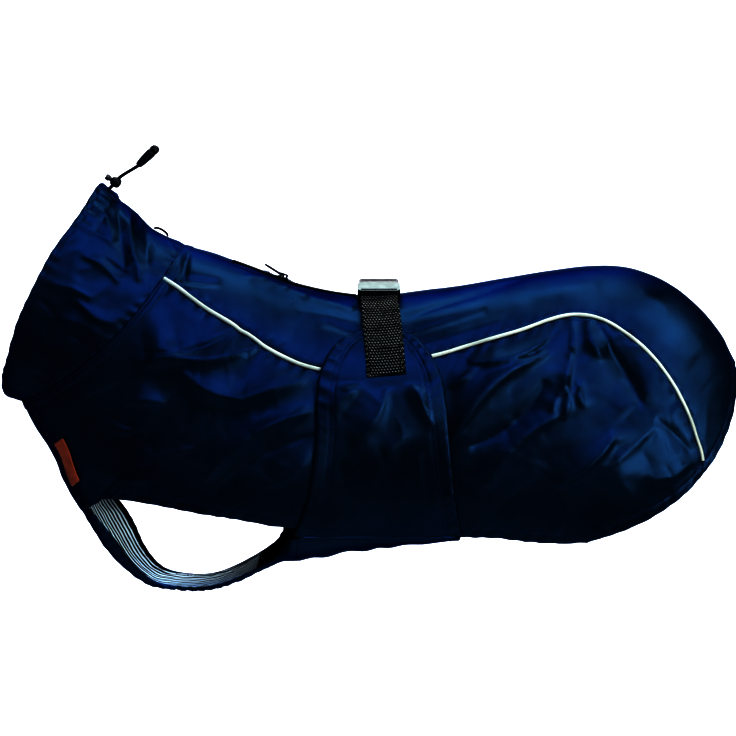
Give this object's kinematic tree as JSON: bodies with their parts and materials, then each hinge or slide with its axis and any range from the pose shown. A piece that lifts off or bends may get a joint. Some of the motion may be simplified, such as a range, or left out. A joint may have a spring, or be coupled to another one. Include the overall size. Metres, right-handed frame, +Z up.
{
  "type": "dog raincoat",
  "caption": "Waterproof dog coat with tall drawcord collar, belly piece with wings closed by a webbing belt and buckle, and a zipped harness opening on the back.",
  "frame": {"origin": "on the inner face of the back panel, on the spine beneath the belt, where the coat rests on a dog's back", "axes": "+X towards the tail, -Y the dog's left side, +Z up"},
  "size_m": [0.5691, 0.1647, 0.3489],
  "materials": {
    "shell": "satin",
    "lining": "matte",
    "piping": "satin",
    "webbing": "matte",
    "zip_tape": "matte",
    "cord": "matte",
    "zip_metal": "satin",
    "black_plastic": "gloss",
    "buckle_face": "satin",
    "label": "satin"
  },
  "bodies": {
    "coat": {"back_panel": "shell", "chest_panel": "shell", "collar": "shell", "chest_strap": "shell", "belly_panel": "shell", "side_panel_left": "shell", "side_panel_right": "shell", "wing_left": "shell", "wing_right": "shell", "strap_lining": "lining", "piping_left": "piping", "piping_right": "piping", "webbing_left": "webbing", "webbing_right": "webbing", "zip_tape_left": "zip_tape", "zip_tape_right": "zip_tape", "drawcord_left": "cord", "drawcord_right": "cord", "collar_loop": "cord", "zip_chain": "black_plastic", "zip_slider": "zip_metal", "buckle_socket": "buckle_face", "buckle_plug": "black_plastic", "cord_lock": "black_plastic", "cord_lock_plunger": "black_plastic", "cord_end": "black_plastic", "label_patch": "label"},
    "zip_pull": {"zip_pull": "zip_metal"}
  },
  "joints": [
    {"name": "zip_pull_hinge", "type": "hinge", "parent": "coat", "child": "zip_pull", "pos_m": [-0.07477, 0, 0.01752], "axis": [0, 1, 0], "range_deg": [-15, 150]}
  ]
}
